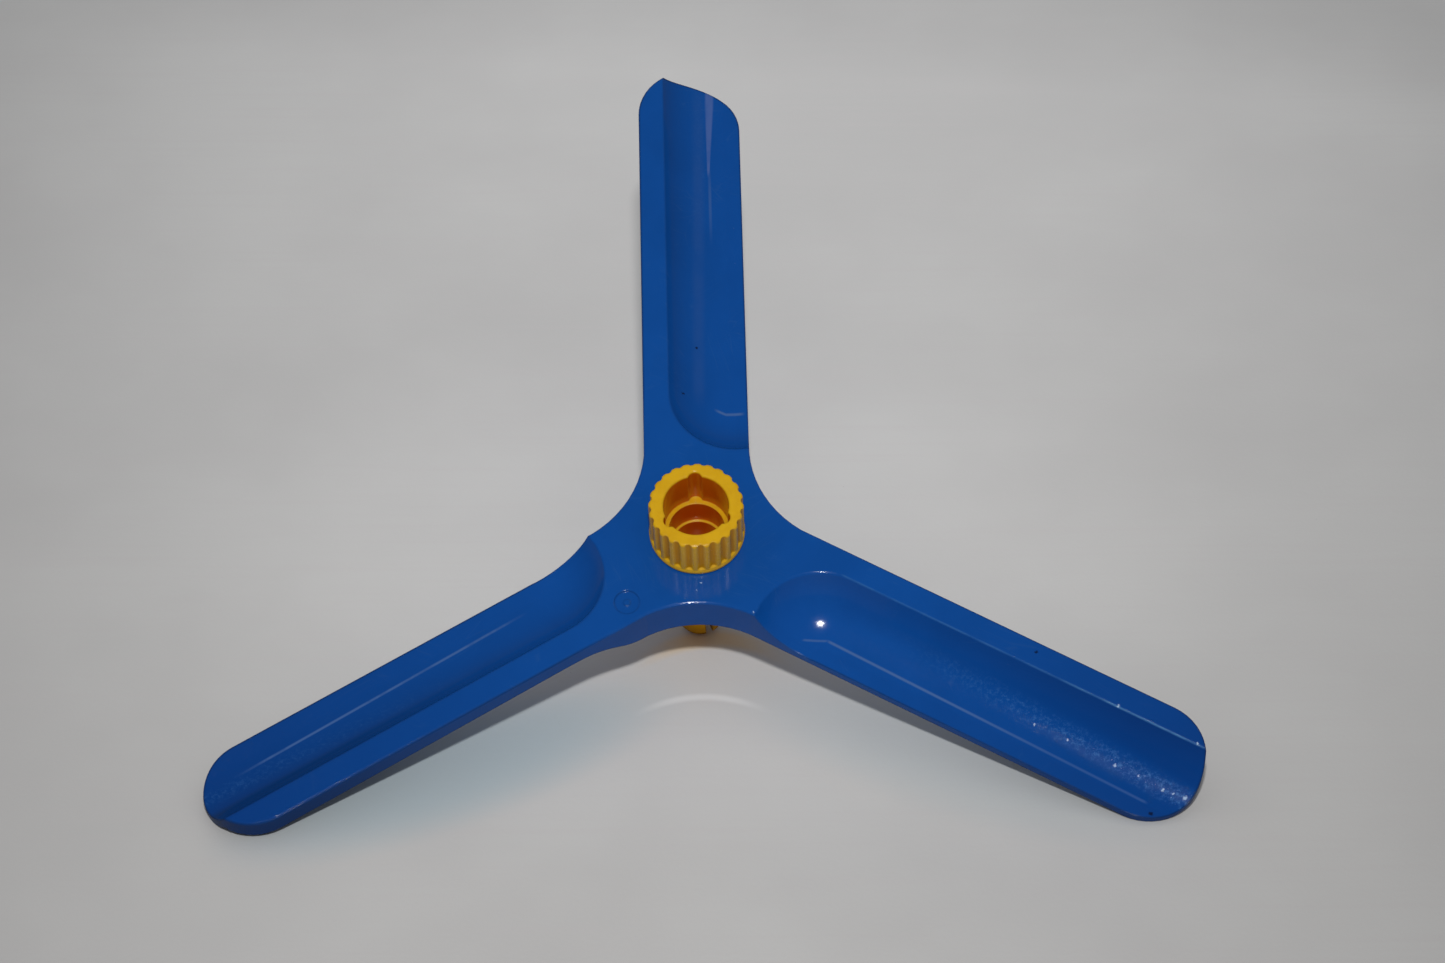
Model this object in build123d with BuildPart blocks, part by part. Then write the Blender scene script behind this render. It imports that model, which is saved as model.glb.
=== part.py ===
"""Three-bladed toy propeller with a captive push-in connector.

Frame: +Z is the spin axis and points out of the front of the hub; z = 0 is the
flat front face of the hub and of the blade strips.  Units are millimetres.

On a blade, u runs outward along the blade from the spin axis, and v runs across
it from its centreline, positive anticlockwise seen from the front.  Shapes cut
from every blade are modelled once on a blade along +X, where u is X and v is Y.
"""

import os
from math import cos, radians, sin

from build123d import *

overrun = 1.0                   # how far cutting tools run past the faces they open

# ------------------------------------------------------- propeller: dimensions
blade_count = 3
blade_pitch_deg = 360 / blade_count
first_blade_deg = 90.0          # one blade points along +Y

strip_side_v = 8.85             # edge beside the flat strip
scoop_side_v = -9.25            # edge beside the scoop
tip_centre_u = 85.1             # centre of the semicircular tip
valley_u = 15.25                # the concave corner between two blades starts here ...
valley_near = 13.45             # ... and comes this close to the axis
skirt_z = -8.2                  # lower rim of the hub skirt and of the scoop side

crease_v = 4.4                  # line where the flat strip drops into the scoop
arc_centre_v = -6.3             # section of the scoop: circular arc ...
scoop_floor_z = -6.9            # ... tangent to the floor at this depth
scoop_lip_z = -6.55             # floor rises again to this height at the open edge
root_u = 27.4                   # axis of the rounded scoop root, along the blade
root_v = -7.2                   # axis of the rounded scoop root, across the blade

far_u = tip_centre_u + 15       # blade cutters end here, beyond the tip ...
far_v = scoop_side_v - 4        # ... and here, beyond the open side

# underside of the flat strip where it rises from the hub: (u, z)
strip_under_z = -3.5
under_rise = [
    (15.4, -8.40), (16.6, -8.20), (18.8, -7.60), (20.7, -6.45), (22.6, -5.20),
    (24.5, -4.30), (26.4, -3.75), (28.4, -3.55), (31.0, strip_under_z),
]
under_rise_tangents = ((1, 0.05), (1, 0))
strip_tip_under_z = -4.4        # height of the underside at far_u
under_bottom_z = -12            # the cutter below the strip spans down to here ...
under_outer_v = 12              # ... and across from here, beyond the strip side ...
under_inner_v = -2.5            # ... to here

wall = 2.0                      # wall under the scoop and round the hub
hub_plate = 2.2                 # thickness of the hub's front plate
pocket_reach = 24.0             # the hub is hollow behind out to this radius
boss_radius = 8.2
bore_radius = 6.27              # turns on the journal of the connector

edge_round = 0.4
gate_pos = (-12.05, -12.85)     # shallow moulding mark on the front face
gate_radius = 2.15
gate_depth = 0.25
gate_dot_radius = 0.6
gate_dot_drop = 0.08            # top of the dot, below the front face
gate_dot_margin = 0.1           # the cut that lowers the dot is this much wider

# the scoop arc meets the front face at the crease
arc_centre_z = ((crease_v - arc_centre_v) ** 2 - scoop_floor_z**2) / (-2 * scoop_floor_z)
arc_radius = arc_centre_z - scoop_floor_z
lip_slope = (scoop_lip_z - scoop_floor_z) / (arc_centre_v - scoop_side_v)
tip_radius = (strip_side_v - scoop_side_v) / 2
tip_centre_v = (strip_side_v + scoop_side_v) / 2


# -------------------------------------------------- propeller: shapes of a blade
def scoop_shape(grow, slope):
    """Scoop body with its arc grown by `grow` and its floor rising at `slope`."""
    radius = arc_radius + grow
    floor_z = arc_centre_z - radius
    arc_points = (
        (arc_centre_v + radius, arc_centre_z),
        (arc_centre_v + radius * cos(radians(-45)), arc_centre_z + radius * sin(radians(-45))),
        (arc_centre_v, floor_z),
    )

    def closing_points(edge_v):
        """From the end of the arc along the floor to edge_v, up and back to its start."""
        edge_z = floor_z + slope * (arc_centre_v - edge_v)
        return arc_points[2], (edge_v, edge_z), (edge_v, arc_centre_z), arc_points[0]

    with BuildPart() as shape:
        # straight run along the blade
        with BuildSketch(Plane.YZ.offset(root_u)):
            with BuildLine():
                ThreePointArc(*arc_points)
                Polyline(*closing_points(far_v))
            make_face()
        extrude(amount=far_u - root_u)
        # rounded root
        with BuildSketch(Plane.YZ.offset(root_u)):
            with BuildLine():
                ThreePointArc(*arc_points)
                Polyline(*closing_points(root_v))
            make_face()
        revolve(axis=Axis((root_u, root_v, 0), (0, 0, 1)), revolution_arc=90)
        # the root runs straight out to the open side: its section, turned to face
        # the hub, with the plane's origin set so that root_v lands on the root axis
        root_end = Plane((root_u + root_v, root_v, 0), x_dir=(-1, 0, 0), z_dir=(0, 1, 0))
        with BuildSketch(root_end):
            with BuildLine():
                ThreePointArc(*arc_points)
                Polyline(*closing_points(root_v))
            make_face()
        extrude(amount=root_v - far_v, dir=(0, -1, slope))
    return shape.part


def space_under_strip(bowl):
    """Space under the flat strip of one blade, outside the bowl."""
    with BuildPart() as space:
        with BuildSketch(Plane.XZ.offset(-under_outer_v)):
            with BuildLine():
                rise = Spline(*under_rise, tangents=under_rise_tangents)
                Polyline(
                    rise @ 1,
                    (far_u, strip_tip_under_z),
                    (far_u, under_bottom_z),
                    (under_rise[0][0], under_bottom_z),
                    rise @ 0,
                )
            make_face()
        extrude(amount=under_outer_v - under_inner_v)
        add(bowl, mode=Mode.SUBTRACT)
    return space.part


def on_blade(angle, u, v):
    """Point at (u, v) of the blade that points along this angle."""
    turn = radians(angle)
    return (u * cos(turn) - v * sin(turn), u * sin(turn) + v * cos(turn))


scoop = scoop_shape(grow=0.0, slope=lip_slope)
bowl = scoop_shape(grow=wall, slope=0)      # the scoop and the wall under it
under = space_under_strip(bowl)

# ------------------------------------------------------- propeller: the moulding
with BuildPart() as propeller:
    with BuildSketch(Plane.XY.offset(skirt_z)) as outline:
        with BuildLine():
            for i in range(blade_count):
                angle = first_blade_deg - blade_pitch_deg * i
                next_angle = angle - blade_pitch_deg
                strip_end = on_blade(angle, tip_centre_u, strip_side_v)
                scoop_end = on_blade(angle, tip_centre_u, scoop_side_v)
                valley_start = on_blade(angle, valley_u, scoop_side_v)
                Line(on_blade(angle, valley_u, strip_side_v), strip_end)
                ThreePointArc(
                    strip_end,
                    on_blade(angle, tip_centre_u + tip_radius, tip_centre_v),
                    scoop_end,
                )
                Line(scoop_end, valley_start)
                ThreePointArc(
                    valley_start,
                    on_blade(angle - blade_pitch_deg / 2, valley_near, 0),
                    on_blade(next_angle, valley_u, strip_side_v),
                )
        make_face()
    extrude(amount=-skirt_z)

    for cutter in (scoop, under):
        with PolarLocations(0, blade_count, start_angle=first_blade_deg):
            add(cutter, mode=Mode.SUBTRACT)

# hollow behind the hub, round the boss
with BuildPart() as pocket:
    with BuildSketch(Plane.XY.offset(skirt_z - overrun)):
        add(outline.sketch)
        offset(amount=-wall, kind=Kind.INTERSECTION)
        Circle(pocket_reach, mode=Mode.INTERSECT)
        Circle(boss_radius, mode=Mode.SUBTRACT)
    extrude(amount=-skirt_z + overrun - hub_plate)
    with PolarLocations(0, blade_count, start_angle=first_blade_deg):
        add(bowl, mode=Mode.SUBTRACT)

with propeller:
    add(pocket.part, mode=Mode.SUBTRACT)
    # bore for the journal
    with BuildSketch(Plane.XY.offset(skirt_z - overrun)):
        Circle(bore_radius)
    extrude(amount=-skirt_z + 2 * overrun, mode=Mode.SUBTRACT)
    # soft edges all round the front face, down into the scoops too
    front = propeller.faces().filter_by(Plane.XY).sort_by(Axis.Z)[-1]
    fillet(front.outer_wire().edges(), radius=edge_round)
    # shallow round moulding mark with a raised dot in its middle
    with BuildSketch(Plane.XY.offset(-gate_depth)):
        with Locations(gate_pos):
            Circle(gate_radius)
            Circle(gate_dot_radius, mode=Mode.SUBTRACT)
    extrude(amount=gate_depth + overrun, mode=Mode.SUBTRACT)
    with BuildSketch(Plane.XY.offset(-gate_dot_drop)):
        with Locations(gate_pos):
            Circle(gate_dot_radius + gate_dot_margin)
    extrude(amount=overrun, mode=Mode.SUBTRACT)

# ------------------------------------------------------- connector: dimensions
knob_radius = 8.0
knob_top_z = 9.9
knob_base_z = 0.18              # running gap above the hub
collar_radius = 8.12            # plain collar round the foot of the knob
collar_top_z = 0.95
collar_slope = 0.15             # height of the slope from collar to knob
knob_round = 0.5
knob_base_round = 0.3
socket_round = 0.35

rib_count = 24
rib_phase_deg = -3.0
rib_groove_width = 0.9          # near the bottom of a groove
rib_groove_mouth = 1.6          # between the rounded crests of the ribs
rib_groove_depth = 0.45
rib_groove_end_z = 1.35         # middle of the slope that ends a groove ...
rib_groove_end_rise = 0.25      # ... and its reach above and below that
rib_groove_out = 0.45           # groove cutter reaches this far outside the knob

socket_radius = 5.49            # stepped socket, open at the top
socket_step1_z = 1.25
socket_radius2 = 4.74
socket_step2_z = -4.4
socket_radius3 = 4.28
socket_floor_z = -12.9
flute_angles = (91.0, 212.0, 332.0)
flute_reach = 6.25              # deepest point of a flute, from the axis
flute_half_deg = 12.0           # half the angle of its mouth
flute_round = 0.3

journal_radius = 6.2
bead_top_z = -8.4               # snap bead under the boss keeps the propeller on
bead_radius = 6.45
bead_lead = 0.15                # height of the slope out to the bead
bead_height = 0.6               # including that slope
shoulder_z = -10.3
shoulder_inset = 0.2            # the shoulder is this much inside the journal
plug_radius = 5.4               # stepped plug, fits a socket of the same kind
plug_step1_z = -18.9
plug_bevel1 = 0.4
plug_radius2 = 4.65
plug_step2_z = -24.6
plug_bevel2 = 0.3
plug_radius3 = 4.2
nose_z = -30.6                  # the plug tapers from here ...
nose_end_radius = 4.05          # ... to this radius, where the end bevel starts
nose_bevel = 0.5
plug_end_z = -31.8
core_radius = 2.0
slot_width = 1.3                # splits the plug into two prongs
slot_length = 20                # longer than the plug is wide
slot_top_z = -18.4
slot_deg = -69.0

# a flute is a circle through its deepest point and the two corners of its mouth
mouth_half = socket_radius * sin(radians(flute_half_deg))
mouth_distance = socket_radius * cos(radians(flute_half_deg))
flute_centre = (flute_reach**2 - mouth_distance**2 - mouth_half**2) / (
    2 * (flute_reach - mouth_distance)
)
flute_radius = flute_reach - flute_centre

# section of a groove from outside the knob to near its bottom: (radius, half width)
groove_bottom = knob_radius - rib_groove_depth
groove_side = [
    (knob_radius + 0.35, rib_groove_mouth / 2 + 0.16),
    (knob_radius - 0.03, rib_groove_mouth / 2),
    (knob_radius - 0.22, rib_groove_width / 2 + 0.06),
    (groove_bottom + 0.06, rib_groove_width / 2 - 0.16),
]

# half section of the turned body: (radius, z)
turned_profile = [
    # knob and collar
    (socket_radius, knob_top_z),
    (knob_radius, knob_top_z),
    (knob_radius, collar_top_z + collar_slope),
    (collar_radius, collar_top_z),
    (collar_radius, knob_base_z),
    # journal and snap bead
    (journal_radius, knob_base_z),
    (journal_radius, bead_top_z),
    (bead_radius, bead_top_z - bead_lead),
    (bead_radius, bead_top_z - bead_height),
    (journal_radius - shoulder_inset, shoulder_z),
    # stepped plug with a tapered nose
    (plug_radius, shoulder_z),
    (plug_radius, plug_step1_z + plug_bevel1),
    (plug_radius - plug_bevel1, plug_step1_z),
    (plug_radius2, plug_step1_z),
    (plug_radius2, plug_step2_z + plug_bevel2),
    (plug_radius2 - plug_bevel2, plug_step2_z),
    (plug_radius3, plug_step2_z),
    (plug_radius3, nose_z),
    (nose_end_radius, plug_end_z + nose_bevel),
    (nose_end_radius - nose_bevel, plug_end_z),
    # core hole and stepped socket
    (core_radius, plug_end_z),
    (core_radius, socket_floor_z),
    (socket_radius3, socket_floor_z),
    (socket_radius3, socket_step2_z),
    (socket_radius2, socket_step2_z),
    (socket_radius2, socket_step1_z),
    (socket_radius, socket_step1_z),
]

# -------------------------------------------------------- connector: the piece
# one groove of the grip: open at the rim, sloping out above the plain collar
with BuildPart() as groove:
    with BuildSketch(Plane.XZ):
        with BuildLine():
            Polyline(
                (groove_bottom, rib_groove_end_z + rib_groove_end_rise),
                (knob_radius + rib_groove_out, rib_groove_end_z - rib_groove_end_rise),
                (knob_radius + rib_groove_out, knob_top_z + overrun),
                (groove_bottom, knob_top_z + overrun),
                close=True,
            )
        make_face()
    extrude(amount=rib_groove_mouth, both=True)
    # round-bottomed section with flaring sides, so the ribs have rounded crests
    with BuildSketch(Plane.XY):
        with BuildLine():
            flank = Spline(
                *[(radius, -half_width) for radius, half_width in groove_side],
                (groove_bottom, 0),
                *reversed(groove_side),
            )
            Line(flank @ 1, flank @ 0)
        make_face()
    extrude(amount=knob_top_z + 2 * overrun, mode=Mode.INTERSECT)

with BuildPart() as connector:
    with BuildSketch(Plane.XZ):
        with BuildLine():
            Polyline(*turned_profile, close=True)
        make_face()
    revolve(axis=Axis.Z)
    # rounded rim of the knob, mouth of the socket and base of the collar
    rim = connector.edges().filter_by(GeomType.CIRCLE).group_by(Axis.Z)[-1]
    fillet(rim.sort_by(SortBy.RADIUS)[-1], radius=knob_round)
    rim = connector.edges().filter_by(GeomType.CIRCLE).group_by(Axis.Z)[-1]
    fillet(rim.sort_by(SortBy.RADIUS)[0], radius=socket_round)
    base = connector.edges().filter_by(GeomType.CIRCLE)
    base = base.filter_by(lambda edge: abs(edge.radius - collar_radius) < 0.01)
    fillet(base.sort_by(Axis.Z)[0], radius=knob_base_round)
    # grooves between the ribs
    with PolarLocations(0, rib_count, start_angle=rib_phase_deg + 180 / rib_count):
        add(groove.part, mode=Mode.SUBTRACT)
    # three shallow flutes in the wall of the socket, down to its first step
    with BuildSketch(Plane.XY.offset(socket_step1_z)):
        for angle in flute_angles:
            turn = radians(angle)
            with Locations((flute_centre * cos(turn), flute_centre * sin(turn))):
                Circle(flute_radius)
    extrude(amount=knob_top_z - socket_step1_z + overrun, mode=Mode.SUBTRACT)
    # upright edges where the flutes meet the socket wall
    fillet(
        connector.edges()
        .filter_by(GeomType.LINE)
        .filter_by(Axis.Z)
        .filter_by(
            lambda edge: abs(edge.center().X ** 2 + edge.center().Y ** 2 - socket_radius**2) < 0.05
        )
        .filter_by(lambda edge: edge.center().Z > socket_step1_z),
        radius=flute_round,
    )
    # slot that lets the two prongs of the plug spring together
    with BuildSketch(Plane.XY.offset(plug_end_z - overrun)):
        Rectangle(slot_length, slot_width, rotation=slot_deg)
    extrude(amount=slot_top_z - plug_end_z + overrun, mode=Mode.SUBTRACT)

# ---------------------------------------------------------------------- export
os.makedirs("parts", exist_ok=True)
for name, piece in (("propeller", propeller.part), ("connector", connector.part)):
    piece.label = name
    export_step(piece, f"parts/{name}.step")
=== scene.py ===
"""A blue three-bladed propeller on a yellow connector, lying on a pale table.

The hub's axis is Z and the front faces +Z.  One blade points along +Y (top), the
others down to the left (-X) and right (+X).  Shader lengths are in millimetres.
"""
import bpy
import math
from functools import reduce
from mathutils import Matrix, Vector


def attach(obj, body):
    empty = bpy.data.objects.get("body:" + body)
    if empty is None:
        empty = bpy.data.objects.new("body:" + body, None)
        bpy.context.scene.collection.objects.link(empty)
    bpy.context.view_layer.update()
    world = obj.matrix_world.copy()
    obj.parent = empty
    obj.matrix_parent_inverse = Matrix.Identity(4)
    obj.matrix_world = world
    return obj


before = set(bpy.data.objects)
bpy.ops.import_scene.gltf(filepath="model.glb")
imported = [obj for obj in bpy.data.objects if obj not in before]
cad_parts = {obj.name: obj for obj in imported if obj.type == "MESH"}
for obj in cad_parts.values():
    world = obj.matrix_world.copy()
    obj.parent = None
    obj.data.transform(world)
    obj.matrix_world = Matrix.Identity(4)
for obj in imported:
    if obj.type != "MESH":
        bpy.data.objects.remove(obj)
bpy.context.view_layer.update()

MM = 0.001

# Camera: angles in radians, and where the frame's origin lies in the camera's axes
LENS, SENSOR = 93.161522, 36.0
ELEVATION, ROLL, AZIMUTH = 1.080089, -0.0312897, 0.0041696
ORIGIN_SEEN = Vector((-4.292905, -8.567857, -633.325)) * MM

# Flash: offsets from the camera, disk diameter (metres) and power (watts)
FLASH_UP, FLASH_RIGHT = 0.114, 0.002
FLASH_SIZE, FLASH_POWER = 0.026, 2.32

# The part rests on the tip of its plug and on two blades, so the table is tilted
TABLE_NORMAL = Vector((0.0186, 0.4623, 0.8865)).normalized()
TABLE_DEPTH = 29.84 * MM
TABLE_RADIUS = 1.0
TABLE_SIDES = 48


def srgb(*channels):
    """Linear colour from 8-bit sRGB values."""

    def linear(value):
        value /= 255.0
        return value / 12.92 if value <= 0.04045 else ((value + 0.055) / 1.055) ** 2.4

    return (*map(linear, channels), 1.0)


# Colours of the blue plastic, and of the painted shade, highlights and reflections on it
BLUE = (0.0042, 0.0760, 0.3400, 1)
BLUE2 = (0.0036, 0.0690, 0.3100, 1)
BLUE_LOWER_SHADE = (0.0024, 0.0430, 0.2150, 1)
BLUE_SHADE = (0.0030, 0.0300, 0.1150, 1)
BLUE_WEAR_AND_SHEEN = (0.045, 0.150, 0.380, 1)
CREST_HIGHLIGHT = (0.050, 0.170, 0.390, 1)
PINK_REFLECTION = (0.058, 0.135, 0.350, 1)
STREAK_REFLECTION = (0.085, 0.150, 0.400, 1)
SOFT_REFLECTION = (0.018, 0.084, 0.320, 1)
RIM_SHADE = (0.003, 0.022, 0.085, 1)
SCUFF_AND_SHEEN = (0.075, 0.240, 0.560, 1)
GLINT = (0.55, 0.72, 0.90, 1)
DARK_SPECK = srgb(8, 16, 40)
PALE_SPECK = srgb(150, 170, 200)
DARK_MARK = srgb(10, 16, 38)

# Colours of the yellow plastic, and of the painted shade on it
YELLOW = (0.700, 0.400, 0.008, 1)
YELLOW2 = (0.640, 0.350, 0.006, 1)
YELLOW_SHADE = (0.610, 0.088, 0.0005, 1)
YELLOW_DEEP_SHADE = (0.700, 0.092, 0.0005, 1)
YELLOW_SIDE_SHADE = (0.480, 0.190, 0.002, 1)
YELLOW_WEAR_AND_SHEEN = (0.800, 0.560, 0.100, 1)
DIRT = srgb(90, 55, 15)

# Colours of the table
TABLE = (0.600, 0.592, 0.588, 1)
TABLE2 = (0.640, 0.634, 0.628, 1)
TABLE_STREAK = (0.62, 0.60, 0.60, 1)
TABLE_SPECK = (0.25, 0.24, 0.24, 1)
TABLE_FINE_SPECK = (0.30, 0.29, 0.29, 1)
TABLE_WARM = (0.72, 0.57, 0.38, 1)
TABLE_COOL_SHADE = (0.455, 0.548, 0.590, 1)
TABLE_GLOW = (0.86, 0.86, 0.86, 1)
TABLE_MIRRORED = (0.06, 0.07, 0.09, 1)

# Painted glints on the propeller's front: x, y, radius
PAINTED_GLINTS = (
    (68.9, -34.45, 0.24), (81.3, -41.6, 0.28), (60.7, -37.7, 0.36), (68.2, -42.4, 0.34),
    (71.9, -44.3, 0.26), (75.8, -47.0, 0.34), (77.4, -47.7, 0.24), (79.3, -48.5, 0.46),
    (55.4, -34.6, 0.24), (9.0, -15.4, 0.18), (0.4, -9.7, 0.20), (-0.3, -11.0, 0.12),
)
DARK_MARKS = ((55.9, -24.2, 0.42), (73.5, -51.0, 0.48), (0.6, 39.2, 0.38), (-2.0, 29.0, 0.30))

# Painted shade and bluish bounced light on the table: centre x, y, direction x, y, amount
COOL_PATCHES = ((-42.5, -36.5, -0.90, -0.44, 0.84), (43.5, -36.5, 0.90, -0.44, 0.35))


# ------------------------------------------------------------------ camera
def add_camera():
    """Add the camera; return its position and its own x and y axes."""
    back = Vector((
        math.sin(AZIMUTH) * math.cos(ELEVATION),
        -math.cos(AZIMUTH) * math.cos(ELEVATION),
        math.sin(ELEVATION),
    ))
    right = Vector((math.cos(AZIMUTH), math.sin(AZIMUTH), 0.0))
    up = back.cross(right)
    axis_x = right * math.cos(ROLL) + up * math.sin(ROLL)
    axis_y = up * math.cos(ROLL) - right * math.sin(ROLL)
    turn = Matrix((axis_x, axis_y, back)).transposed()
    position = -(turn @ ORIGIN_SEEN)
    data = bpy.data.cameras.new("camera")
    data.sensor_width = SENSOR
    data.lens = LENS
    data.clip_start, data.clip_end = 0.01, 20.0
    camera = bpy.data.objects.new("camera", data)
    camera.matrix_world = Matrix.Translation(position) @ turn.to_4x4()
    bpy.context.scene.collection.objects.link(camera)
    bpy.context.scene.camera = camera
    return position, axis_x, axis_y


# ------------------------------------------------------------------ node helpers
class Nodes:
    """Short-hand for building a node tree."""

    def __init__(self, tree):
        self.tree = tree

    def set(self, node, key, value):
        """Link a socket to an input, or give the input a value."""
        if isinstance(value, bpy.types.NodeSocket):
            self.tree.links.new(value, node.inputs[key])
        else:
            node.inputs[key].default_value = value

    def node(self, kind, *values, **named):
        """Add a node and return its outputs.

        Lower-case keywords are settings, capitalised ones inputs by name, and
        plain values fill the inputs in order.
        """
        node = self.tree.nodes.new("ShaderNode" + kind)
        for name, value in named.items():
            if name[0].islower():
                setattr(node, name, value)
            else:
                self.set(node, name.replace("_", " "), value)
        for i, value in enumerate(values):
            self.set(node, i, value)
        return node.outputs

    def math(self, op, *values, clamp=False):
        return self.node("Math", *values, operation=op, use_clamp=clamp)[0]

    def mul(self, *terms):
        return reduce(lambda a, b: self.math("MULTIPLY", a, b), terms)

    def max(self, *terms):
        return reduce(lambda a, b: self.math("MAXIMUM", a, b), terms)

    def add(self, a, b, clamp=False):
        return self.math("ADD", a, b, clamp=clamp)

    def sub(self, a, b):
        return self.math("SUBTRACT", a, b)

    def div(self, a, b):
        return self.math("DIVIDE", a, b)

    def abs(self, value):
        return self.math("ABSOLUTE", value)

    def mul_add(self, value, factor, addend):
        return self.math("MULTIPLY_ADD", value, factor, addend)

    def above(self, a, b):
        return self.math("GREATER_THAN", a, b)

    def below(self, a, b):
        return self.math("LESS_THAN", a, b)

    def square_sum(self, a, b):
        return self.add(self.math("POWER", a, 2.0), self.math("POWER", b, 2.0))

    def hypot(self, a, b):
        return self.math("SQRT", self.square_sum(a, b))

    def vector(self, op, *values, **named):
        outputs = self.node("VectorMath", *values, operation=op, **named)
        return outputs[1 if op in ("DOT_PRODUCT", "DISTANCE", "LENGTH") else 0]

    def split(self, vector):
        return self.node("SeparateXYZ", vector)

    def geometry(self, output):
        return self.node("NewGeometry")[output]

    def ramp(self, value, start, end, to=(0.0, 1.0), smooth=True):
        """Map start..end onto the pair `to`, held constant beyond either end."""
        return self.node(
            "MapRange", interpolation_type="SMOOTHSTEP" if smooth else "LINEAR",
            Value=value, From_Min=start, From_Max=end, To_Min=to[0], To_Max=to[1],
        )[0]

    def stripe(self, value, centre, half):
        """1 on the centre, falling smoothly to 0 at half either side."""
        return self.ramp(self.abs(self.sub(value, centre)), half, half * 0.15)

    def span(self, value, start, end, soft):
        """1 between start and end, with soft ends inside them."""
        return self.mul(self.ramp(value, start, start + soft), self.ramp(value, end, end - soft))

    def mix(self, mask, a, b):
        node = self.tree.nodes.new("ShaderNodeMix")
        node.data_type = "RGBA"
        for socket, value in ((0, mask), (6, a), (7, b)):
            self.set(node, socket, value)
        return node.outputs[2]

    def paint(self, base, colour, mask, amount=None):
        """Lay a colour over the base where the mask is set."""
        if amount is not None:
            mask = self.mul(mask, amount)
        return self.mix(mask, base, colour)

    def noise(self, vector, scale, detail=3.0, rough=0.5, output=0):
        return self.node(
            "TexNoise", Vector=vector, Scale=scale, Detail=detail, Roughness=rough
        )[output]


class MaterialNodes(Nodes):
    """A new material's nodes, with the object position in millimetres."""

    def __init__(self, name):
        self.material = bpy.data.materials.new(name)
        self.material.use_nodes = True
        super().__init__(self.material.node_tree)
        self.tree.nodes.clear()
        self.output = self.tree.nodes.new("ShaderNodeOutputMaterial")
        self.point = self.vector("SCALE", self.node("TexCoord")["Object"], Scale=1 / MM)

    def finish(self, shader):
        self.set(self.output, "Surface", shader)
        return self.material


class Plastic(MaterialNodes):
    """Masks both plastics share: rounded edges, paler edges that are partly wear and partly
    painted sheen, distance from the axis.
    """

    def __init__(self, name):
        super().__init__(name)
        normal = self.geometry("Normal")
        self.bevel = self.node("Bevel", samples=4, Radius=0.45 * MM)[0]
        self.edge = self.ramp(self.vector("DOT_PRODUCT", normal, self.bevel), 0.995, 0.90)
        # Paler edges: partly wear, partly painted sheen on the rounded edges
        patchy = self.ramp(self.noise(self.point, scale=0.35), 0.42, 0.62)
        self.edge_wear_and_sheen = self.mul(self.edge, patchy)
        self.x, self.y, self.z = self.split(self.point)
        self.radius = self.hypot(self.x, self.y)


class Blades:
    """Coordinates folded onto one blade, and a mask for each blade."""

    def __init__(self, mat):
        arc = math.radians(120.0)
        x, y, self.z = mat.split(mat.point)
        self.x, self.y = x, y
        radius = mat.math("SQRT", mat.mul_add(x, x, mat.mul(y, y)))
        turn = mat.sub(mat.math("ARCTAN2", y, x), math.radians(30.0))
        fold = mat.sub(mat.math("FLOORED_MODULO", turn, arc), arc / 2)
        self.along = mat.mul(radius, mat.math("COSINE", fold))
        self.across = mat.mul(radius, mat.math("SINE", fold))
        self.top = mat.above(y, mat.mul(mat.abs(x), 0.577))
        rest = mat.sub(1.0, self.top)
        self.right = mat.mul(rest, mat.above(x, 0.0))
        self.left = mat.mul(rest, mat.below(x, 0.0))


def scratches(mat, angle, spacing, width, seed, keep):
    """Thin straight scratches at one angle, broken up along their length."""
    turned = mat.node(
        "Mapping", Vector=mat.point, Rotation=(0.12, 0.07, angle),
        Location=(seed * 3.7, seed * 1.9, seed),
    )[0]
    warp = mat.noise(turned, scale=0.03, detail=2.0, output="Color")
    wavy = mat.vector("MULTIPLY_ADD", warp, (0.0, 5.0, 0.0), turned)
    squashed = mat.vector("MULTIPLY", wavy, (0.05, 1.0 / spacing, 0.05))
    cells = mat.node("TexVoronoi", feature="DISTANCE_TO_EDGE", Vector=squashed, Scale=1.0)
    line = mat.ramp(cells["Distance"], width, 0.0)
    gate = mat.ramp(mat.noise(turned, scale=0.09, detail=4.0), keep, keep + 0.06)
    return mat.mul(line, gate)


def specks(mat, scale, size, share, seed):
    """Small sparse spots; share is the part of cells that hold one."""
    moved = mat.node("Mapping", Vector=mat.point, Location=(seed, seed * 2.3, seed * 0.7))[0]
    cells = mat.node("TexVoronoi", Vector=moved, Scale=scale)
    pick = mat.node("SeparateColor", cells["Color"])
    chosen = mat.below(pick[0], share)
    reach = mat.mul_add(pick[1], size * 0.8, size * 0.5)
    return mat.mul(mat.below(cells["Distance"], reach), chosen)


def spots(mat, flat, marks):
    """Round marks from a table of x, y, radius."""
    return reduce(mat.max, (
        mat.ramp(mat.vector("DISTANCE", flat, (x, y, 0.0)), radius, radius * 0.35)
        for x, y, radius in marks
    ))


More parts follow.
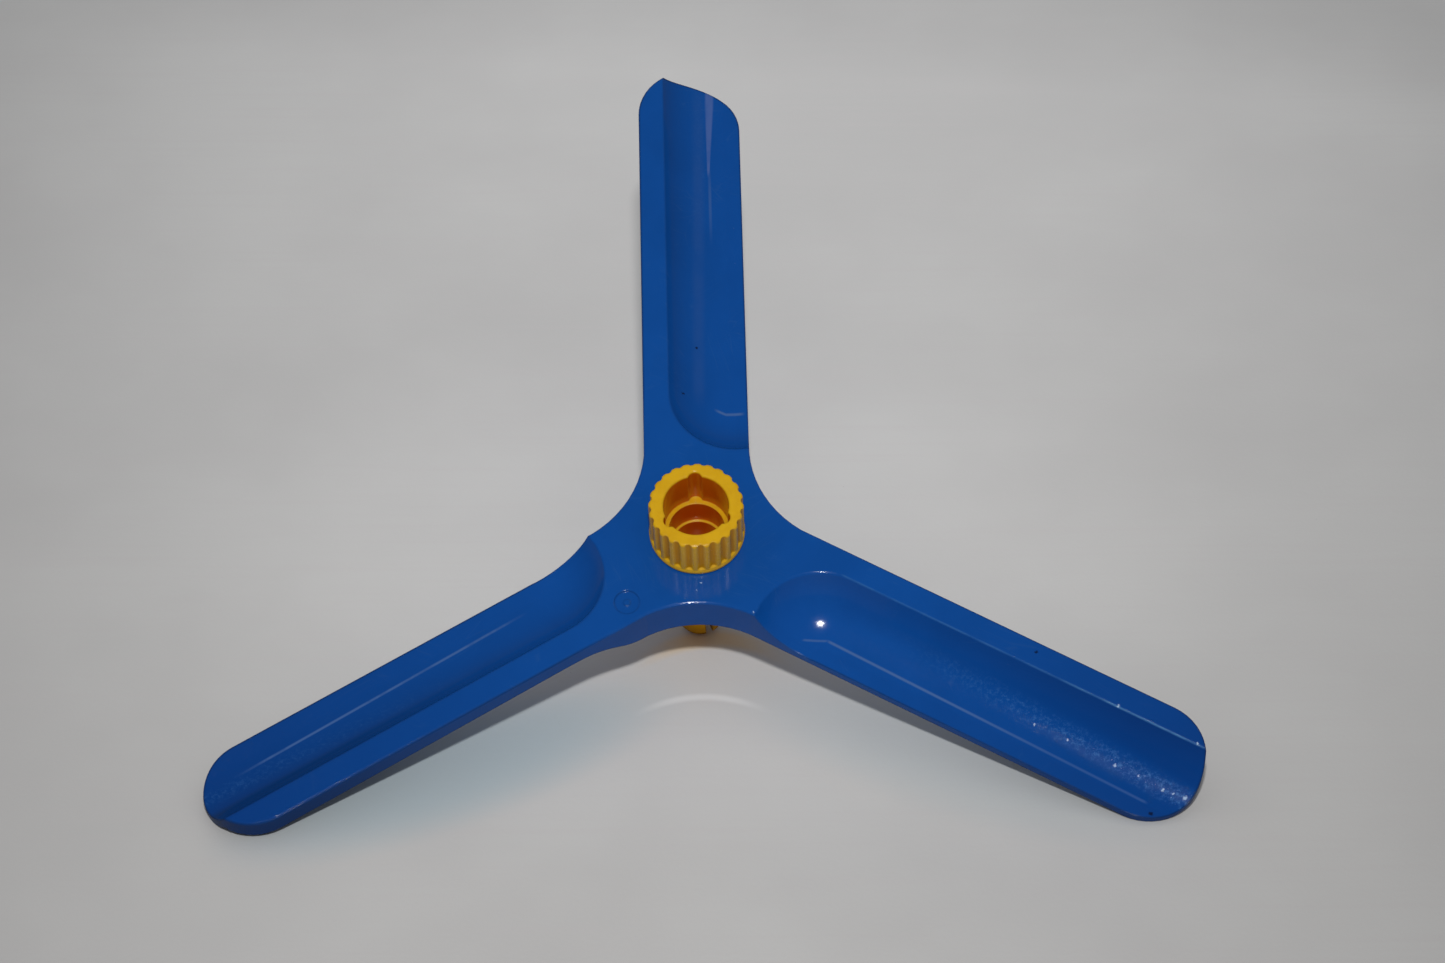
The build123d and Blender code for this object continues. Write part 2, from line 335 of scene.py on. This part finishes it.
# ------------------------------------------------------------------ blue plastic
def reflection_lines(mat, blade, wave):
    """Painted reflections: thin pale lines where the scoop's curve meets its flat floor."""
    along, across = blade.along, blade.across
    scoop_floor = mat.ramp(blade.z, -5.0, -5.6)
    right = mat.mul(
        mat.stripe(mat.mul_add(along, 0.020, across), centre=-4.17, half=0.37),
        mat.span(along, 27.2, 88.0, soft=1.0),
        mat.ramp(along, 45.0, 75.0, to=(1.0, 0.45)), blade.right,
    )
    left = mat.mul(
        mat.stripe(mat.mul_add(along, -0.0167, across), centre=-5.67, half=0.36),
        mat.span(along, 30.0, 88.0, soft=8.0),
        mat.ramp(wave, 0.35, 0.55, to=(0.5, 0.9)), blade.left,
    )
    slant = mat.mul_add(mat.sub(along, 27.4), -0.50, across)
    bend = mat.mul(
        mat.stripe(slant, centre=-4.80, half=0.36),
        mat.span(along, 23.6, 27.8, soft=0.6), 0.7, blade.right,
    )
    corner = mat.mul_add(mat.max(mat.add(across, 5.4), 0.0), -0.45, along)
    root = mat.mul(
        mat.stripe(corner, centre=26.4, half=0.42),
        mat.span(across, -8.9, -3.2, soft=1.2), blade.top,
    )
    faint = mat.mul(
        mat.stripe(across, centre=-3.6, half=0.40),
        mat.span(along, 60.0, 80.0, soft=9.0), 0.5, blade.top,
    )
    return mat.mul(scoop_floor, mat.max(right, left, bend, root, faint))


def tip_reflection(mat, blade, wave):
    """Painted reflection: a soft pale streak near the end of the upper scoop, widening outward.
    """
    half = mat.ramp(blade.along, 76.0, 91.0, to=(0.22, 0.85), smooth=False)
    middle = mat.mul_add(blade.along, 0.030, blade.across)
    offset = mat.div(mat.abs(mat.add(middle, 1.14)), half)
    return mat.mul(
        mat.ramp(offset, 1.1, 0.55), mat.span(blade.along, 75.0, 95.0, soft=2.0),
        mat.ramp(wave, 0.3, 0.6, to=(0.65, 1.0)), blade.top,
    )


def scuff_sheen_distance(mat, blade):
    """Distance from the slightly slanted middle of the scuffed, highlighted band."""
    middle = mat.mul_add(mat.sub(blade.along, 59.5), 0.055, blade.across)
    return mat.abs(mat.add(middle, 0.9))


def scuff_and_highlight_band(mat, blade):
    """Fine wear and a painted highlight along the bottom of the scoops, heavier toward the tips.
    """
    width = mat.ramp(scuff_sheen_distance(mat, blade), 2.6, 0.0)
    length = mat.ramp(blade.along, 36.0, 92.0, to=(0.05, 1.0), smooth=False)
    length = mat.math("POWER", length, 1.2)
    share = mat.mul_add(blade.left, 0.30, mat.mul_add(blade.top, 0.12, blade.right))
    return mat.mul(width, length, share)


def blade_rim_shade(mat, blade, facing):
    """Mask of painted shade along the outer edge of a blade: straight sides and a round tip."""
    tip_centre, offset = 85.1, 0.2
    tip = mat.hypot(mat.sub(blade.along, tip_centre), mat.add(blade.across, offset))
    beyond = mat.above(blade.along, tip_centre)
    sides = mat.mul(mat.sub(1.0, beyond), mat.abs(mat.add(blade.across, offset)))
    outline = mat.max(mat.mul(beyond, tip), sides)
    return mat.mul(
        mat.ramp(outline, 8.62, 9.02), mat.ramp(blade.along, 20.0, 30.0),
        mat.ramp(facing, 0.05, 0.30),
    )


def shade_blades(mat, base, blade, facing, flank):
    """Painted shade: darker lower blades, a shaded crease, dark rims and outer flanks."""
    along, across = blade.along, blade.across
    # Painted shade: the lower blades darken toward their tips, and so does the right blade's
    # steep scoop wall
    lower_shade = mat.add(
        mat.mul(blade.right, mat.ramp(along, 34.0, 92.0, to=(0.05, 0.86), smooth=False)),
        mat.mul(blade.left, mat.ramp(along, 22.0, 90.0, to=(0.08, 0.94), smooth=False)),
    )
    lower_shade = mat.add(lower_shade, mat.mul(
        blade.right, mat.ramp(across, -1.2, 1.6), mat.ramp(across, 4.5, 4.3),
        mat.ramp(along, 22.0, 30.0), 0.30,
    ))
    base = mat.paint(base, BLUE_LOWER_SHADE, lower_shade)
    # Painted shade along the left blade's crease and steep scoop wall
    crease = mat.mul(
        blade.left, mat.ramp(mat.abs(mat.sub(across, 2.4)), 2.3, 0.6),
        mat.ramp(along, 34.0, 84.0),
    )
    base = mat.paint(base, BLUE_SHADE, crease, amount=0.62)
    # Painted shade: dark rims on the blade edges and on the outer flanks
    base = mat.paint(base, RIM_SHADE, blade_rim_shade(mat, blade, facing), amount=0.55)
    return mat.paint(base, RIM_SHADE, flank, amount=0.55)


def painted_highlights(mat, base, blade, wave):
    """Painted highlights and reflections: crease highlight, soft stripe, pale lines and tip
    streak.
    """
    along = blade.along
    # Painted highlight along the right blade's crease
    crest_highlight = mat.mul(
        mat.stripe(blade.across, centre=4.45, half=0.22), mat.span(along, 25.0, 93.0, soft=1.0),
        blade.right, mat.ramp(along, 62.0, 78.0, to=(0.38, 1.0)),
        mat.ramp(wave, 0.35, 0.60, to=(0.45, 1.0)),
    )
    base = mat.paint(base, CREST_HIGHLIGHT, crest_highlight)
    # Painted reflection: a soft pale stripe along the top blade's scoop
    soft = mat.mul(
        mat.stripe(mat.mul_add(along, 0.0185, blade.across), centre=-0.20, half=1.55),
        mat.span(along, 26.0, 96.0, soft=6.0),
        mat.ramp(wave, 0.3, 0.6, to=(0.5, 0.9)), blade.top,
    )
    base = mat.paint(base, SOFT_REFLECTION, soft, amount=0.65)
    # Painted reflections: thin pale lines in the scoops
    base = mat.paint(base, PINK_REFLECTION, reflection_lines(mat, blade, wave))
    return mat.paint(base, STREAK_REFLECTION, tip_reflection(mat, blade, wave), amount=0.72)


def wear_and_glints(mat, base, blade, band, front):
    """Dusty scuffs with a painted highlight, painted glints and ragged marks."""
    # Scuffed band: real scuffs with a painted highlight, mottled
    band_mottle = mat.ramp(mat.noise(mat.point, scale=1.5, detail=6.0, rough=0.80), 0.46, 0.72)
    base = mat.paint(base, SCUFF_AND_SHEEN, mat.mul(band, band_mottle), amount=0.84)
    # Painted glints: sparkles in the scuffed band, and round spots
    grain = mat.noise(mat.point, scale=2.6, detail=4.0, rough=0.80)
    glint = mat.mul(mat.ramp(grain, 0.645, 0.70), mat.ramp(band, 0.30, 0.80))
    # Position shaken by up to 0.55 either way and flattened, so marks look ragged
    flat = mat.node("CombineXYZ", X=blade.x, Y=blade.y)[0]
    shake = mat.noise(flat, scale=1.6, rough=0.7, output="Color")
    flat = mat.vector("MULTIPLY_ADD", shake, (1.1, 1.1, 0.0), flat)
    flat = mat.vector("ADD", flat, (-0.55, -0.55, 0.0))
    flat = mat.vector("MULTIPLY", flat, (1.0, 1.0, 0.0))
    glint = mat.max(glint, mat.mul(front, spots(mat, flat, PAINTED_GLINTS)))
    base = mat.paint(base, GLINT, glint, amount=0.62)
    return mat.paint(base, DARK_MARK, mat.mul(front, spots(mat, flat, DARK_MARKS)), amount=0.85)


def blue_specular(mat, blade, band, front, flank):
    """Duller beside the scuffed, highlighted band, on the scoop's steep side and on the flanks.
    """
    beside = mat.mul(
        blade.right, mat.ramp(scuff_sheen_distance(mat, blade), 5.0, 2.4),
        mat.ramp(blade.along, 40.0, 56.0), front,
    )
    steep = mat.mul(
        blade.right, mat.ramp(blade.across, 0.8, 2.0), mat.ramp(blade.across, 4.45, 4.3),
        mat.ramp(blade.along, 32.0, 38.0), front,
    )
    dull = mat.max(band, mat.mul(mat.max(beside, steep), 0.45))
    dull = mat.max(dull, mat.mul(flank, 0.40))
    return mat.max(mat.mul_add(dull, -0.55, 0.37), 0.06)


def blue_plastic():
    mat = Plastic("blue_plastic")
    point = mat.point
    outer = mat.ramp(mat.radius, 42.0, 92.0)
    cloud = mat.ramp(mat.noise(point, scale=0.06, detail=5.0, rough=0.6), 0.35, 0.68)
    base = mat.mix(cloud, BLUE, BLUE2)
    # Paler edges: partly wear, partly a painted highlight along rounded edges and creases
    base = mat.paint(base, BLUE_WEAR_AND_SHEEN, mat.edge_wear_and_sheen, amount=0.30)
    first = scratches(mat, angle=0.45, spacing=1.1, width=0.030, seed=1.0, keep=0.55)
    second = scratches(mat, angle=-0.62, spacing=1.6, width=0.022, seed=2.0, keep=0.57)
    third = scratches(mat, angle=1.35, spacing=1.3, width=0.026, seed=3.0, keep=0.60)
    scratched = mat.max(first, mat.max(second, third))
    base = mat.paint(base, BLUE_WEAR_AND_SHEEN, scratched, amount=0.10)
    dark = specks(mat, scale=0.085, size=0.026, share=0.16, seed=4.0)
    pale = specks(mat, scale=0.30, size=0.022, share=0.10, seed=9.0)
    base = mat.paint(base, DARK_SPECK, dark, amount=0.75)
    base = mat.paint(base, PALE_SPECK, pale, amount=0.35)

    blade = Blades(mat)
    wave = mat.noise(point, scale=0.20, rough=0.6)
    facing = mat.split(mat.geometry("Normal"))[2]
    front = mat.ramp(facing, 0.15, 0.35)
    # Painted shade on the steep outer flanks of the lower blades
    flank = mat.mul(
        mat.ramp(facing, 0.28, 0.08), mat.ramp(blade.along, 48.0, 84.0),
        mat.mul_add(blade.right, 0.5, blade.left),
    )
    base = shade_blades(mat, base, blade, facing, flank)
    base = painted_highlights(mat, base, blade, wave)
    band = mat.mul(scuff_and_highlight_band(mat, blade), front)
    base = wear_and_glints(mat, base, blade, band, front)

    fine = mat.noise(point, scale=1.7, detail=4.0, rough=0.65)
    scuff = mat.ramp(mat.noise(point, scale=0.55, detail=4.0, rough=0.75), 0.42, 0.70)
    scuff = mat.mul(scuff, outer)
    rough = mat.add(mat.ramp(fine, 0.3, 0.7, to=(0.095, 0.135)), mat.mul(scuff, 0.03))
    rough = mat.add(rough, mat.mul(band, 0.02))
    rough = mat.add(rough, mat.mul(mat.add(scratched, mat.edge), 0.06), clamp=True)

    swell = mat.noise(point, scale=0.5, detail=2.0)
    normal = mat.node(
        "Bump", Strength=0.35, Distance=0.03 * MM, Height=swell, Normal=mat.bevel)[0]
    pits = mat.ramp(mat.noise(point, scale=5.5, detail=2.0, rough=0.7), 0.55, 0.78)
    pits = mat.mul(pits, mat.mul_add(outer, 0.8, 0.15))
    normal = mat.node("Bump", Strength=0.5, Distance=0.02 * MM, Height=pits, Normal=normal)[0]
    return mat.finish(mat.node(
        "BsdfPrincipled", Base_Color=base, Roughness=rough, IOR=1.5,
        Specular_IOR_Level=blue_specular(mat, blade, band, front, flank), Normal=normal,
    )[0])


# ------------------------------------------------------------------ yellow plastic
def yellow_plastic():
    mat = Plastic("yellow_plastic")
    point, radius, z = mat.point, mat.radius, mat.z
    cloud = mat.ramp(mat.noise(point, scale=0.35, detail=5.0, rough=0.6), 0.35, 0.68)
    base = mat.mix(cloud, YELLOW, YELLOW2)

    # Painted shade on the socket walls that face the axis, deepest low in the socket, and darker
    # toward the -Z end
    within = mat.mul(mat.ramp(radius, 6.75, 6.55), mat.above(z, -13.1))
    inside = mat.mul(within, mat.ramp(z, 9.8, 9.2))
    level = mat.abs(mat.split(mat.geometry("True Normal"))[2])
    outward = mat.vector(
        "DOT_PRODUCT", mat.geometry("True Normal"), mat.node("CombineXYZ", X=mat.x, Y=mat.y)[0])
    inward = mat.ramp(outward, 0.6, -0.6)
    wall = mat.mul(inside, inward, mat.ramp(level, 0.7, 0.3))
    base = mat.paint(base, YELLOW_SHADE, wall, amount=0.85)
    base = mat.paint(base, YELLOW_SHADE, mat.ramp(z, -7.0, -12.0), amount=0.25)
    low = mat.mul(within, inward, mat.ramp(level, 0.7, 0.3), mat.ramp(z, 2.5, -1.0))
    base = mat.paint(base, YELLOW_DEEP_SHADE, low, amount=0.7)
    # Painted shade on the upright faces between the inner and outer radius
    side = mat.mul(
        mat.ramp(radius, 7.98, 7.6), mat.ramp(radius, 6.9, 7.3), mat.ramp(level, 0.5, 0.2))
    base = mat.paint(base, YELLOW_SIDE_SHADE, side, amount=0.70)

    # Paler edges: partly wear, partly a painted highlight along rounded edges
    base = mat.paint(base, YELLOW_WEAR_AND_SHEEN, mat.edge_wear_and_sheen, amount=0.25)
    scratched = scratches(mat, angle=0.7, spacing=0.8, width=0.03, seed=5.0, keep=0.56)
    dirt = specks(mat, scale=0.55, size=0.05, share=0.08, seed=6.0)
    base = mat.paint(base, DIRT, dirt, amount=0.5)
    fine = mat.noise(point, scale=2.4, detail=4.0, rough=0.65)
    rough = mat.ramp(fine, 0.3, 0.7, to=(0.16, 0.25))
    rough = mat.add(rough, mat.mul(mat.add(scratched, mat.edge), 0.07), clamp=True)
    normal = mat.bevel
    for scale, detail, depth in ((0.9, 3.0, 0.03), (6.0, 2.0, 0.02)):
        height = mat.noise(point, scale, detail)
        normal = mat.node(
            "Bump", Strength=0.4, Distance=depth * MM, Height=height, Normal=normal)[0]
    return mat.finish(mat.node(
        "BsdfPrincipled", Base_Color=base, Roughness=rough, IOR=1.5,
        Specular_IOR_Level=mat.mul_add(side, -0.28, 0.36), Normal=normal,
    )[0])


# ------------------------------------------------------------------ table
def table_painted_light(mat, x, y):
    """Painted light on the table: brighter with y, a painted pool of light in the middle, darker
    far out.
    """
    slope = mat.mul_add(y, 0.0000095, mat.mul_add(x, 0.0000035, 0.0018))
    gain = mat.mul_add(y, slope, 1.115)
    core = mat.square_sum(
        mat.abs(mat.div(x, 110.0)), mat.abs(mat.div(mat.sub(y, 18.0), 80.0)))
    gain = mat.add(gain, mat.ramp(core, 1.0, 0.0, to=(0.0, 0.13)))
    gain = mat.math("MINIMUM", gain, 1.75)
    far = mat.square_sum(
        mat.div(mat.abs(x), 118.0), mat.div(mat.abs(mat.sub(y, 55.0)), 140.0))
    return mat.mul(gain, mat.ramp(far, 0.15, 3.1, to=(1.0, 0.60), smooth=False))


def table_tints(mat, base, x, y):
    """Light passed on or thrown onto the table by the part."""
    # Warm arc in the shade around the yellow plug
    aside = mat.abs(mat.sub(x, 2.0))
    arc = mat.mul_add(mat.mul(aside, aside), 0.035, mat.add(y, 5.2))
    warm = mat.mul(mat.ramp(mat.abs(arc), 3.2, 0.8), mat.ramp(aside, 15.0, 2.0))
    base = mat.paint(base, TABLE_WARM, warm)
    # Painted shade with bluish bounced light: cool ovals by the lower blades
    for centre_x, centre_y, dir_x, dir_y, amount in COOL_PATCHES:
        from_x, from_y = mat.sub(x, centre_x), mat.sub(y, centre_y)
        along = mat.mul_add(from_x, dir_x, mat.mul(from_y, dir_y))
        across = mat.mul_add(from_x, -dir_y, mat.mul(from_y, dir_x))
        oval = mat.square_sum(mat.abs(mat.div(along, 46.0)), mat.abs(mat.div(across, 15.0)))
        base = mat.paint(base, TABLE_COOL_SHADE, mat.ramp(oval, 1.0, 0.0), amount=amount)
    # Thin pale bow on the -Y side of the hub
    bow = mat.abs(mat.mul_add(mat.mul(x, x), 0.030, mat.add(y, 20.0)))
    glow = mat.mul(mat.ramp(bow, 1.3, 0.1), mat.ramp(mat.abs(x), 12.5, 4.0))
    return mat.paint(base, TABLE_GLOW, glow, amount=0.55)


def table_material():
    mat = MaterialNodes("floor")
    point = mat.point
    cloud = mat.ramp(mat.noise(point, scale=0.012, detail=4.0, rough=0.6), 0.3, 0.7)
    base = mat.mix(cloud, TABLE, TABLE2)
    stretched = mat.node("Mapping", Vector=point, Scale=(0.02, 0.5, 1.0))[0]
    streak = mat.ramp(mat.noise(stretched, scale=1.0), 0.45, 0.75, to=(0.0, 0.35))
    base = mat.paint(base, TABLE_STREAK, streak)
    coarse = specks(mat, scale=0.075, size=0.020, share=0.22, seed=3.0)
    base = mat.paint(base, TABLE_SPECK, coarse, amount=0.50)
    fine = specks(mat, scale=0.22, size=0.022, share=0.12, seed=5.0)
    base = mat.paint(base, TABLE_FINE_SPECK, fine, amount=0.32)
    x, y, _ = mat.split(point)
    gain = table_painted_light(mat, x, y)
    base = mat.vector("SCALE", table_tints(mat, base, x, y), Scale=gain)
    # Darker as mirrored in the glossy plastic
    base = mat.paint(base, TABLE_MIRRORED, mat.node("LightPath")["Is Glossy Ray"], amount=0.78)
    rough = mat.ramp(mat.noise(point, scale=0.05, detail=4.0), 0.3, 0.7, to=(0.40, 0.52))
    height = mat.noise(point, scale=1.2, detail=4.0)
    surface = mat.node(
        "BsdfPrincipled", Base_Color=base, Roughness=rough, Specular_IOR_Level=0.20,
        Normal=mat.node("Bump", Strength=0.4, Distance=0.06 * MM, Height=height)[0],
    )[0]

    # Hidden from the camera where it is seen from below, edge on, or far out
    incoming = mat.node(
        "VectorTransform", mat.geometry("Incoming"),
        vector_type="VECTOR", convert_from="WORLD", convert_to="OBJECT",
    )[0]
    facing = mat.ramp(mat.vector("DOT_PRODUCT", incoming, tuple(TABLE_NORMAL)), 0.16, 0.36)
    near = mat.ramp(mat.vector("LENGTH", point), 420.0, 260.0)
    hidden = mat.sub(1.0, mat.mul(facing, near))
    clear = mat.mul(hidden, mat.node("LightPath")["Is Camera Ray"])
    return mat.finish(mat.node("MixShader", clear, surface, mat.node("BsdfTransparent")[0])[0])


def give(obj, material):
    obj.data.materials.clear()
    obj.data.materials.append(material)


def add_table():
    mesh = bpy.data.meshes.new("table")
    tilt = TABLE_NORMAL.to_track_quat("Z", "Y")
    points = []
    for i in range(TABLE_SIDES):
        angle = i * math.pi / (TABLE_SIDES // 2)
        edge = Vector((TABLE_RADIUS * math.cos(angle), TABLE_RADIUS * math.sin(angle), 0))
        points.append(tuple(tilt @ edge - TABLE_NORMAL * TABLE_DEPTH))
    mesh.from_pydata(points, [], [tuple(range(TABLE_SIDES))])
    table = bpy.data.objects.new("table", mesh)
    bpy.context.scene.collection.objects.link(table)
    give(table, table_material())
    # the resting plane goes through two blade tips, so it turns with the propeller
    # and a turned blade never dips under it
    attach(table, "propeller")


# ------------------------------------------------------------------ light
def add_flash(position):
    """Small disk light beside the camera, aimed at the origin."""
    data = bpy.data.lights.new("flash", "AREA")
    data.shape = "DISK"
    data.size = FLASH_SIZE
    data.energy = FLASH_POWER
    data.color = (1.0, 0.985, 0.965)
    flash = bpy.data.objects.new("flash", data)
    flash.location = position
    flash.rotation_mode = "QUATERNION"
    flash.rotation_quaternion = (-position).to_track_quat("-Z", "Y")
    bpy.context.scene.collection.objects.link(flash)


def add_world():
    """Soft ceiling light, with dimmer reflections and a grey backdrop."""
    world = bpy.data.worlds.new("world")
    bpy.context.scene.world = world
    world.use_nodes = True
    net = Nodes(world.node_tree)
    rays = net.node("LightPath")
    backdrop = net.node("Background", Color=(0.97, 0.97, 0.97, 1), Strength=0.46)[0]
    # stronger overhead, weaker from the sides
    overhead = tuple(Vector((0.0, 0.34, 0.94)).normalized())
    height = net.vector("DOT_PRODUCT", net.node("TexCoord")["Generated"], overhead)
    ceiling = net.tree.nodes["Background"]
    net.set(ceiling, "Color", (0.96, 0.98, 1.0, 1))
    net.set(ceiling, "Strength", net.ramp(height, 0.0, 1.0, to=(0.16, 0.42), smooth=False))
    reflected = net.node("Background", Color=(0.92, 0.97, 1.0, 1), Strength=0.055)[0]
    light = net.node("MixShader", rays["Is Glossy Ray"], ceiling.outputs[0], reflected)[0]
    shown = net.node("MixShader", rays["Is Camera Ray"], light, backdrop)[0]
    net.set(net.tree.nodes["World Output"], "Surface", shown)


camera_place, camera_x, camera_y = add_camera()
give(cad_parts["propeller"], blue_plastic())
give(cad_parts["connector"], yellow_plastic())
add_table()
add_flash(camera_place + camera_y * FLASH_UP + camera_x * FLASH_RIGHT)
add_world()
bpy.context.scene.view_settings.view_transform = "Standard"
